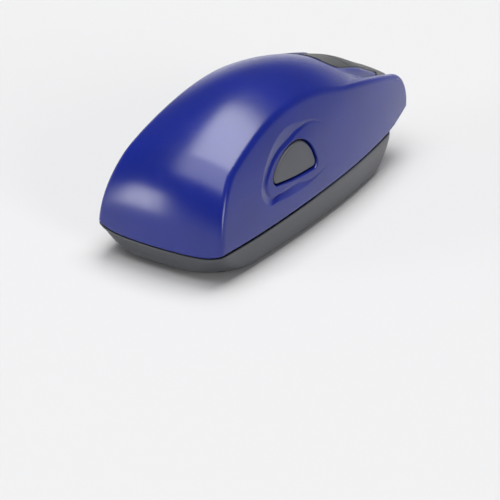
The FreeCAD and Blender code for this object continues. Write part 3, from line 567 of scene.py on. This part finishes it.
def hole_ring(angles, start, far, side, inward):
    """Rings of points from the button's hole to the edge of its window, over the dish on the outer side.

    The hole's outer edge is rounded by a quarter circle."""
    near = start[None, :] + HOLE_MARKS
    if inward:
        spokes = np.concatenate([near[:1], start + (far - start) * np.linspace(0, 1, 5)[1:, None]])
    else:
        edge, wide = reach(DISH, angles), dish_width(angles)
        low = edge - wide
        between = near[-1] + (low - LIP_WIDE - near[-1]) * np.linspace(0, 1, 4)[1:3, None]
        beyond = edge + (far - edge) * np.linspace(0, 1, 6)[1:, None]
        dish = [low + LIP_MARKS, low + wide * WALL_MARKS, edge + EDGE_MARKS]
        spokes = np.concatenate([near, between, *dish, beyond])
        step = RING_STEP * np.arange(len(spokes))[:, None]
        spokes = np.minimum(np.maximum.accumulate(spokes - step, 0) + step, far + step - step[-1])
    x = LEAF_CENTRE[0] + spokes * np.cos(angles)
    z = LEAF_CENTRE[1] + spokes * np.sin(angles)
    y = flank(x, z, inward)
    if not inward:
        y = y - dish_depth(edge - spokes, wide)
        short = HOLE_ROUND - np.minimum(spokes - start, HOLE_ROUND)
        y = y - HOLE_ROUND + np.sqrt(HOLE_ROUND ** 2 - short ** 2)
    return np.stack([x, side * y, z], -1)


def hole_parts(outer, inner, window, side):
    """A button's hole: its rings on the outer and the inner side, and the wall between them."""
    loop = loop_of(window, outer.shape[1])
    parts, edges = [], []
    for points, inward in ((outer, 0.0), (inner, WALL)):
        last = points.reshape(-1, 3)[loop]
        along, up = last[:, 0] - LEAF_CENTRE[0], last[:, 2] - LEAF_CENTRE[1]
        turn = np.arctan2(up, along)
        ring = hole_ring(turn, reach(LEAF, turn, BUTTON_GAP), np.hypot(along, up), side, inward)
        ring[-1] = last
        ring = closed(ring)
        edges.append(ring[0])
        parts.append(part(ring, flip=bool(inward)))
    return parts + [part(np.stack(edges))]


def rim_part(outer, inner):
    """The housing's lower edge: the outer side rounded under, then straight across to the inner side."""
    path = np.concatenate([outer[::-1, 0], outer[0, 1:-1], outer[:, -1]])
    under = np.concatenate([inner[::-1, 0], inner[0, 1:-1], inner[:, -1]])
    along = np.gradient(path, axis=0)
    out = np.stack([-along[:, 1], along[:, 0], 0 * along[:, 0]], -1)
    out /= np.maximum(np.linalg.norm(out, axis=1, keepdims=True), SHORTEST)
    out *= np.sign(((path - [CENTRE_X, 0.0, 0.0]) * out).sum(1))[:, None]
    turn = quarter(5)[:, None, None]
    down = np.array([0.0, 0.0, -1.0])
    curl = path - out * RIM_ROUND * (1 - np.cos(turn)) + down * RIM_ROUND * np.sin(turn)
    return part(np.concatenate([curl, under[None]]))


def tail_parts(outer, inner):
    """The round end of each side plate: a rounded edge, its end face, and a rounded edge and web inside."""
    angle = np.radians(np.linspace(TAIL_LOW, TAIL_HIGH, FLANK_STEPS))
    spoke = np.stack([np.cos(angle), 0 * angle, np.sin(angle)], -1)
    x, z = HINGE_X + TAIL_RADIUS * np.cos(angle), HINGE_Z + TAIL_RADIUS * np.sin(angle)
    y = flank(x, z)
    w = np.linspace(0, 1, EDGE_STEPS + 2)[:, None, None]
    last = outer.shape[1] - 1
    parts = []
    for side, column in ((-1, slice(0, FLANK_STEPS)), (1, slice(last, last - FLANK_STEPS, -1))):
        corner = np.stack([x, side * y, z], -1)
        inside = corner - np.array([0, side * CREASE_RADIUS, 0])
        curve = (1 - w) ** 2 * outer[-1, column] + 2 * w * (1 - w) * corner + w ** 2 * inside
        inner_edge = np.stack([x, 0 * x + side * (FENDER_INNER + FENDER_ROUND), z], -1)
        face = inside + (inner_edge - inside) * np.linspace(0, 1, 4)[1:, None, None]
        turn = quarter(4)[1:, None, None]
        sideways = np.array([0, side * FENDER_ROUND, 0])
        roll = inner_edge - sideways * np.sin(turn) - spoke * FENDER_ROUND * (1 - np.cos(turn))
        web = roll[-1] + (inner[-1, column] - roll[-1]) * np.linspace(0, 1, 6)[1:, None, None]
        parts.append(part(np.concatenate([curve, face, roll, web])))
    return parts


def cover_parts():
    """The housing's shell: outer and inner grids with a window for each button's ring, rim, and tail."""
    outer, inner = sheet(0.0), sheet(WALL)
    last = outer.shape[1] - 1
    middle = outer[:, FLANK_STEPS // 2, 0]
    i0, i1 = (int(np.argmin(abs(middle - x))) for x in WINDOW_X)
    j0, j1 = (round(share * (FLANK_STEPS - 1)) for share in WINDOW_SHARES)
    windows = [(i0, i1, j0, j1), (i0, i1, last - j1, last - j0)]
    parts = [part(outer, gone=windows), part(inner, flip=True, gone=windows)]
    for window, (_, side) in zip(windows, SIDES):
        parts += hole_parts(outer, inner, window, side)
    return parts + [rim_part(outer, inner)] + tail_parts(outer, inner)


dress(solid("housing_shell", cover_parts()), "housing", "indigo_plastic", "housing_cover")


# Buttons: a face sunk into the hole, and the flange behind it, by its depths under the flank

BUTTON_SINK, BUTTON_ROUND = 0.35, 0.3
FLANGE_LIP, FLANGE_TOP, FLANGE_BACK = 0.9, 1.75, 2.75


def button_parts(side):
    """Push button: a face that follows the flank, a rounded edge, a straight side and a flange behind it.

    Rings of the outline are grown or shrunk and moved inwards; the face's rings shrink to its centre."""
    angles = np.linspace(0, 2 * math.pi, 181)
    turn = quarter(7)
    shrink, sink = BUTTON_ROUND * (np.sin(turn) - 1), BUTTON_SINK + BUTTON_ROUND * (1 - np.cos(turn))
    back = [(0.0, FLANGE_TOP), (FLANGE_LIP, FLANGE_TOP), (FLANGE_LIP, FLANGE_BACK)]
    steps = np.concatenate([np.stack([shrink, sink], -1), back])
    size = np.concatenate([reach(LEAF, angles, grow)[None] for grow, _ in steps])
    depth = steps[:, 1][:, None]
    shares = np.linspace(0, 1, 12)[:-1, None]
    size = np.concatenate([size[:1] * shares, size, size[-1:] * shares[::-3]])
    depth = np.concatenate([depth[0] + 0 * shares, depth, FLANGE_BACK + 0 * shares[::-3]])
    x = LEAF_CENTRE[0] + size * np.cos(angles)
    z = LEAF_CENTRE[1] + size * np.sin(angles)
    return [part(np.stack([x, side * (flank(x, z) - depth), z], -1))]


for name, side in SIDES:
    button = solid(name + "_push_button", button_parts(side))
    dress(button, name + "_push", "button_grey_plastic", name + "_button")


# Grey strip let into the top

STRIP_FRONT_X, STRIP_END_X = 51.2, 70.42
STRIP_HALF, STRIP_CORNER = 5.5, 2.8
STRIP_THICK, STRIP_ROUND, STRIP_PROUD = 1.4, 0.25, 0.17
JOINT_X, JOINT_DEEP, JOINT_WIDE = 58.5, 0.1, 0.13
END_ROUND, END_MARKS = 0.3, np.array([0.3, 0.1, 0.0])
# Spacing of the rings, room left beside closer ones and before the end, and reach of those at the joint
STRIP_STEP, STRIP_ROOM, END_ROOM, JOINT_REACH = 0.7, 0.6, 0.4, 0.5
# First and last place along the top's centre line, and count, in which the places along x are looked up
LOOK_UP = (40, 90, 2000)
# Over the barrel the strip's underside is flat, at this height
SEAT_X, SEAT_Z = HINGE_X - 0.2, HINGE_Z + 3.45


def strip_parts():
    """Strip along the top with round front corners, a little proud, and a fine groove across at its joint.

    Each ring across it has an upper side, two rounded edges and a lower side, all given as a place across
    and a depth under the face, which is the top moved outwards. The groove is a bell curve along x."""
    s = np.linspace(*LOOK_UP)
    x, _ = top(s, 0 * s, 0.0, False)
    front = STRIP_FRONT_X + STRIP_CORNER * np.linspace(0, 1, 12) ** 2
    before = np.arange(STRIP_FRONT_X + STRIP_CORNER + STRIP_ROOM, JOINT_X - STRIP_ROOM, STRIP_STEP)
    joint = JOINT_X + JOINT_REACH * np.linspace(-1, 1, 21)
    behind = np.arange(JOINT_X + STRIP_STEP, STRIP_END_X - END_ROOM, STRIP_STEP)
    places = np.concatenate([front, before, joint, behind, STRIP_END_X - END_MARKS])
    s = np.interp(places, x, s)[:, None]
    places = places[:, None]
    ahead = np.clip(1 - (places - STRIP_FRONT_X) / STRIP_CORNER, 0, 1)
    half = STRIP_HALF - STRIP_CORNER * (1 - np.sqrt(1 - ahead ** 2))
    groove = JOINT_DEEP * np.exp(-((places - JOINT_X) / JOINT_WIDE) ** 2)
    end = END_ROUND * np.clip((places - STRIP_END_X + END_ROUND) / END_ROUND, 0, 1) ** 2
    rise = STRIP_PROUD + plinth_rise(places) - groove - end
    turn = quarter(5)[None]
    flat = np.linspace(-1, 1, 31)[None]
    core = half - STRIP_ROUND
    edge, edge_depth = core + STRIP_ROUND * np.sin(turn), STRIP_ROUND * (1 - np.cos(turn)) + 0 * core
    below = half * flat[:, ::-2]
    across = np.concatenate([core * flat, edge, below, -edge[:, ::-1]], 1)
    depth = np.concatenate([0 * core * flat, edge_depth, STRIP_THICK + 0 * below, edge_depth[:, ::-1]], 1)
    px, pz = top(s + 0 * across, across, depth - rise, False)
    seated = (px > SEAT_X) & (depth > STRIP_ROUND)
    pz = np.where(seated, np.maximum(pz, SEAT_Z), pz)
    return [part(closed(np.stack([px, across, pz], -1)))]


dress(solid("grey_strip", strip_parts()), "housing", "dark_grey_plastic", "top_insert")


# Base: its outline in plan at each height, and the shell made of such outlines

BASE_INSET = 0.9
BASE_TAIL_X, TAIL_RAKE, TAIL_CORNER, TAIL_CORNER_MORE = 64.8, 1.6, 4.6, 2.4
NOSE_RAKE, NOSE_ROUND, NOSE_PLAN_RADIUS = math.radians(12), 4.4, 68.24
BOW_TOP, BOW_BOTTOM, BOW_LEAST = 0.5, 9.0, 0.3
BASE_WALL, BASE_FLOOR = 1.1, 0.8
EDGE_TOP, EDGE_INNER, EDGE_BOTTOM = 0.3, 0.25, 1.3
# The base's rim drops round its tail, to clear the hinge
TAIL_DROP_X, TAIL_DROP_LONG, TAIL_DROP = 62.6, 1.8, 1.3
# Ends of the middle line that the rays start from, and runs of their angles round the nose
SPINE = (9.0, 55.0)
NOSE_RUNS = ((90, 112, 12), (112, 134, 40), (134, 180, 22))
RAY_LENGTH, HALVINGS = 20, 40
# Heights of the rings inside the wall, and shares of the way out of those on the floor and the underside
WALL_LEVELS = (-2.0, -3.4, -BASE_HEIGHT + BASE_FLOOR)
FLOOR_SHARES = (0.6, 0.25, 0.0)


def round_corner(a, b, radius):
    """Distance outside two square faces that meet with a round corner of that radius."""
    round_part = np.hypot(a + radius, b + radius) - radius
    return np.where((a > -radius) & (b > -radius), round_part, np.maximum(a, b))


def base_outside(x, y, z, inward):
    """Distance outside the base's plan: sides, a raked and bowed nose, and a tail with round corners.

    The nose leans in at one angle down to where a round foot touches it, and bulges across by a parabola.
    Sides and tail draw in below, and the corners' radii grow with the share of the way down."""
    share = np.clip(-z / BASE_HEIGHT, 0, 1)
    above = z + BASE_HEIGHT
    touch = NOSE_ROUND * (1 - math.sin(NOSE_RAKE))
    slope = math.tan(NOSE_RAKE)
    centre = -NOSE_BULGE + (BASE_HEIGHT - touch) * slope + NOSE_ROUND * math.cos(NOSE_RAKE)
    foot = centre - np.sqrt(np.maximum(NOSE_ROUND ** 2 - (NOSE_ROUND - above) ** 2, 0))
    nose = np.where(above < touch, foot, -NOSE_BULGE - z * slope) + y * y / (2 * NOSE_PLAN_RADIUS)
    side = np.abs(y) - half_width(x) + BASE_INSET * share
    bow = np.maximum(BOW_TOP + (BOW_BOTTOM - BOW_TOP) * share - inward, BOW_LEAST)
    tail = x - BASE_TAIL_X + BASE_INSET * share + TAIL_RAKE * share ** 3
    corner = TAIL_CORNER + TAIL_CORNER_MORE * share ** 2 - inward
    front, back = round_corner(side, nose - x, bow), round_corner(side, tail, corner)
    return np.where(x < WIDEST_X, front, back) + inward


def base_ring(height, inward):
    """Ring of the base at a height and a distance inside its outline.

    Each point lies on a ray from the middle line, where halving steps find the outline. The height is a
    share of the way from the underside up to the split, or a plain height if it is negative."""
    turn = np.unique(np.concatenate([np.linspace(*run) for run in NOSE_RUNS]))
    nose = np.radians(np.concatenate([turn, 360 - turn[-2::-1]]))
    tail = np.radians(np.linspace(-90, 90, 61))
    run = np.linspace(SPINE[0], SPINE[1], 60)[1:-1]
    from_x = np.concatenate([SPINE[0] + 0 * nose, run, SPINE[1] + 0 * tail, run[::-1]])
    way = np.concatenate([nose, -math.pi / 2 + 0 * run, tail, math.pi / 2 + 0 * run])
    low, high = 0 * from_x, 0 * from_x + RAY_LENGTH
    for _ in range(HALVINGS):
        middle = (low + high) / 2
        x, y = from_x + middle * np.cos(way), middle * np.sin(way)
        level = split_height(x, y) - GAP / 2 - TAIL_DROP * smooth((x - TAIL_DROP_X) / TAIL_DROP_LONG)
        z = -BASE_HEIGHT + height * (BASE_HEIGHT + level) if height >= 0 else height + 0 * x
        inside = base_outside(x, y, z, inward) < 0
        low, high = np.where(inside, middle, low), np.where(inside, high, middle)
    return np.stack([x, y, z], -1), np.stack([from_x, 0 * from_x, 0 * from_x], -1)


def base_parts():
    """The base's shell: up the outside, over a rounded top edge, down the inside and over its floor."""
    turn = quarter(7)
    rows = []
    for a in turn[:-1]:
        rise = -BASE_HEIGHT + EDGE_BOTTOM * (1 - math.cos(a))
        rows.append(base_ring(rise, EDGE_BOTTOM * (1 - math.sin(a)))[0])
    for share in np.linspace(EDGE_BOTTOM / BASE_HEIGHT, 1, 14)[:-1]:
        rows.append(base_ring(share, 0.0)[0])
    for a in turn:
        rows.append(base_ring(1.0, EDGE_TOP * (1 - math.cos(a)))[0] - [0, 0, EDGE_TOP * (1 - math.sin(a))])
    rows.append(base_ring(1.0, BASE_WALL - EDGE_INNER)[0])
    ring, spine = base_ring(1.0, BASE_WALL)
    rows.append(ring - [0, 0, EDGE_INNER])
    rows += [base_ring(z, BASE_WALL)[0] for z in WALL_LEVELS]
    inner, outer = rows[-1], rows[0]
    for share in FLOOR_SHARES:
        rows.append(spine * (1 - share) + inner * [share, share, 1])
        rows.insert(0, spine * (1 - share) + outer * [share, share, 1])
    return [part(closed(np.stack(rows)))]


dress(solid("base_hull", base_parts()), "base", "base_grey_plastic", "base_shell")


# Soft pieces, each in the space of its own solid

# Points on each corner's arc, on each long side and on each short side
CORNER_STEPS, LONG_STEPS, SHORT_STEPS = 10, 70, 26
LEAST_CORNER = 0.05
# Factors of the places along and across, and shift, of the two waves on the felt
WAVES = ((9, 4, 0), (-13, 5, 1))


def soft_ring(half_x, half_y, radius):
    """Ring of a rectangle with round corners: the points of each corner's arc, then of the next side."""
    turn = np.concatenate([quarter(CORNER_STEPS) + k * math.pi / 2 for k in range(4)])
    sign_x, sign_y = np.repeat([1, -1, -1, 1], CORNER_STEPS), np.repeat([1, 1, -1, -1], CORNER_STEPS)
    x = sign_x * (half_x - radius) + radius * np.cos(turn)
    y = sign_y * (half_y - radius) + radius * np.sin(turn)
    loop = np.stack([np.append(x, x[0]), np.append(y, y[0])], -1)
    pieces = []
    for k in range(4):
        first, after = CORNER_STEPS * k, CORNER_STEPS * (k + 1)
        a, b = loop[after - 1], loop[after]
        steps = np.linspace(0, 1, SHORT_STEPS if k % 2 else LONG_STEPS)[1:-1, None]
        pieces += [loop[first:after], a + (b - a) * steps]
    return np.concatenate(pieces)


def soft_block(box, corner, soft, pinch=0.0, crown=0.0, wave=0.0):
    """Pad: rings of a round-cornered rectangle from the middle of its underside up to the middle of its top.

    Its edges are round by soft, and its sides draw in by pinch times a half sine. Its top rises by crown
    times one less the fourth power of the place along, times the same across, with two crossed low waves."""
    (x0, y0, z0), (x1, y1, z1) = box
    half_x, half_y = (x1 - x0) / 2, (y1 - y0) / 2
    arc = quarter(6)
    tall = z1 - crown - z0 - 2 * soft
    # share of the ring's size, distance inside the outline, and height
    rows = [(share, soft, z0) for share in (0.0, 0.5, 1.0)]
    rows += [(1.0, soft * (1 - math.sin(a)), z0 + soft * (1 - math.cos(a))) for a in arc[1:]]
    for share in np.linspace(0, 1, 8)[1:-1]:
        rows.append((1.0, pinch * math.sin(math.pi * share), z0 + soft + tall * share))
    rows += [(1.0, soft * (1 - math.cos(a)), z1 - crown - soft * (1 - math.sin(a))) for a in arc]
    face = len(rows)
    rows += [(share, soft, z1 - crown) for share in np.linspace(1, 0, 26)[1:]]
    rings = []
    for share, inset, z in rows:
        plan = soft_ring(half_x - inset, half_y - inset, max(corner - inset, LEAST_CORNER))
        rings.append(np.concatenate([share * plan, 0 * plan[:, :1] + z], 1))
    grid = np.stack(rings)
    along, across = grid[..., 0] / half_x, grid[..., 1] / half_y
    swell = (1 - along ** 4) * (1 - across ** 4)
    waves = wave * sum(np.sin(a * along + b * across + c) for a, b, c in WAVES) * swell
    grid[face:, :, 2] += (crown * swell + waves - 2 * wave * swell)[face:]
    grid[..., 0] += (x0 + x1) / 2
    return [part(closed(grid))]


felt_parts = soft_block(node_box("ink_pad"), corner=1.6, soft=0.45, crown=0.3, wave=0.02)
felt = dress(solid("felt_pad", felt_parts), "base", "pad_felt", "ink_pad")
foam_parts = soft_block(node_box("foam_layer"), corner=0.5, soft=0.2, pinch=0.12)
foam = dress(solid("foam_cushion", foam_parts), "housing", "pale_foam", "foam_layer")


# Return springs: copies of the solids' own coils, carried by the housing

WELD = 1e-6


def return_spring(name):
    """Copy of a solid's coil, its corners merged."""
    spring = name + "_button_spring"
    mesh = frame["nodes"][spring].data.copy()
    mesh.materials.clear()
    form = bmesh.new()
    form.from_mesh(mesh)
    bmesh.ops.remove_doubles(form, verts=form.verts, dist=WELD)
    form.to_mesh(mesh)
    form.free()
    mesh.shade_smooth()
    coil = dress(into_scene(name + "_return_spring", mesh), "housing", "spring_steel", spring)
    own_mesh(coil)


for name, side in SIDES:
    return_spring(name)


# Moulded pieces that keep the solids' own shapes

EDGE_ANGLE = math.radians(35)
PLASTIC_EDGE, RUBBER_EDGE = 0.1, 0.05


def soften(width, *names):
    """Rounds the edges of moulded pieces a little, as a mould's own edges are."""
    for name in names:
        node = frame["nodes"][name]
        weld = node.modifiers.new("weld", "WELD")
        weld.merge_threshold = WELD
        bevel = node.modifiers.new("edges", "BEVEL")
        bevel.width = width * MM
        bevel.segments = 2
        bevel.limit_method = "ANGLE"
        bevel.angle_limit = EDGE_ANGLE


soften(PLASTIC_EDGE, "chassis", "plate_holder", "ink_tray", "base_rim_frame", "centre_tooth",
       "left_hook", "right_hook", "left_lug", "right_lug", "left_catch_arm", "right_catch_arm")
soften(RUBBER_EDGE, "text_die")


# Stage, light and camera

FLOOR_HALF, FLOOR_DROP = 0.7, 0.0002
LAMP_DISTANCE = 3000.0
LAMP_TARGET = np.array([30.0, 0.0, 8.0])
# Name, azimuth and elevation in degrees, size in millimetres and brightness of each lamp
LAMPS = (
    ("overhead core", 6, 73, (1800, 2150), 6.2),
    ("overhead nose", 162, 70, (2200, 1950), 3.3),
    ("fill", -112, 20, (1300, 1000), 5.5),
    ("side", 142, 3, (1750, 1150), 6.5),
)


def direction(azimuth, elevation):
    """Unit vector towards an azimuth and an elevation in degrees."""
    az, el = math.radians(azimuth), math.radians(elevation)
    return np.array([math.cos(el) * math.cos(az), math.cos(el) * math.sin(az), math.sin(el)])


def stage_floor():
    """Plain pale floor under the base."""
    corners = [(-FLOOR_HALF, -FLOOR_HALF, 0), (FLOOR_HALF, -FLOOR_HALF, 0),
               (FLOOR_HALF, FLOOR_HALF, 0), (-FLOOR_HALF, FLOOR_HALF, 0)]
    mesh = bpy.data.meshes.new("floor")
    mesh.from_pydata(corners, [], [(0, 1, 2, 3)])
    made, _, shader, _ = material("pale floor board")
    shader.inputs["Base Color"].default_value = linear("#d4d4d4")
    shader.inputs["Roughness"].default_value = 0.9
    shader.inputs["Specular IOR Level"].default_value = 0.0
    mesh.materials.append(made)
    floor = into_scene("floor", mesh)
    floor.location.z = -FLOOR_DROP


def soft_box(name, azimuth, elevation, size, radiance):
    """Area lamp in that direction from the object, of that size in millimetres and that brightness.

    Its brightness is that of its face, where 1 is white, so its power is that times pi times its area."""
    way = direction(azimuth, elevation)
    lamp = bpy.data.lights.new(name, "AREA")
    lamp.shape = "RECTANGLE"
    lamp.size, lamp.size_y = size[0] * MM, size[1] * MM
    lamp.energy = radiance * math.pi * lamp.size * lamp.size_y
    thing = into_scene(name, lamp)
    thing.location = place(LAMP_TARGET + way * LAMP_DISTANCE)
    across = np.cross([0.0, 1.0, 0.0], way)
    across /= np.linalg.norm(across)
    turn = mathutils.Matrix((across, np.cross(way, across), way)).transposed()
    thing.rotation_euler = turn.to_euler()


def make_world():
    """Surroundings: pale below and at the horizon, like the floor, and dim grey above it."""
    world = bpy.data.worlds.new("studio")
    world.use_nodes = True
    tree = world.node_tree
    way = add(tree, "ShaderNodeTexCoord").outputs["Generated"]
    rise = add(tree, "ShaderNodeSeparateXYZ", {0: way}).outputs["Z"]
    ends = {"From Min": -0.1, "From Max": 0.4}
    share = add(tree, "ShaderNodeMapRange", {"Value": rise}, ends).outputs["Result"]
    colour = tint(tree, share, [(0.0, "#d8d8da"), (0.4, "#c8c8cc"), (0.75, "#6a6a6e"), (1.0, "#5a5a60")])
    tree.links.new(colour, tree.nodes["Background"].inputs["Color"])
    bpy.context.scene.world = world


# Viewing direction, in degrees, and scale measured in the photograph. Its axis points at a place this far
# right of and above the nose corner, in millimetres, and at this row of its 500 x 500 frame.
VIEW_AZIMUTH, VIEW_ELEVATION, VIEW_ROLL = -150.948, 24.415, 2.373
VIEW_DISTANCE = 379.84
PIXELS_PER_MM = 5.84
AXIS_RIGHT, AXIS_UP, AXIS_ROW = 15.60, 12.70, 165.0
FRAME_PIXELS = 500.0
# Width of the sensor in millimetres, and nearest distance shown in metres
SENSOR_WIDTH, NEAR_CLIP = 36.0, 0.01


def make_camera():
    """Camera at the photograph's direction and distance, turned so that its frame needs no shift."""
    az, roll = math.radians(VIEW_AZIMUTH), math.radians(VIEW_ROLL)
    back = direction(VIEW_AZIMUTH, VIEW_ELEVATION)
    level = np.array([-math.sin(az), math.cos(az), 0.0])
    rise = np.cross(back, level)
    right = math.cos(roll) * level + math.sin(roll) * rise
    up = -math.sin(roll) * level + math.cos(roll) * rise
    spot = back * VIEW_DISTANCE + right * AXIS_RIGHT + up * AXIS_UP
    focal = PIXELS_PER_MM * VIEW_DISTANCE
    tilt = math.atan((FRAME_PIXELS / 2 - AXIS_ROW) / focal)
    new_back = math.cos(tilt) * back + math.sin(tilt) * up
    new_up = math.cos(tilt) * up - math.sin(tilt) * back
    data = bpy.data.cameras.new("camera")
    data.sensor_width = SENSOR_WIDTH
    data.lens = focal / FRAME_PIXELS * SENSOR_WIDTH * math.cos(tilt)
    data.clip_start = NEAR_CLIP
    thing = into_scene("camera", data)
    turn = mathutils.Matrix((right, new_up, new_back)).transposed().to_4x4()
    thing.matrix_world = mathutils.Matrix.Translation(place(spot)) @ turn
    bpy.context.scene.camera = thing


stage_floor()
make_world()
make_camera()
for lamp in LAMPS:
    soft_box(*lamp)
bpy.context.scene.view_settings.view_transform = "Standard"
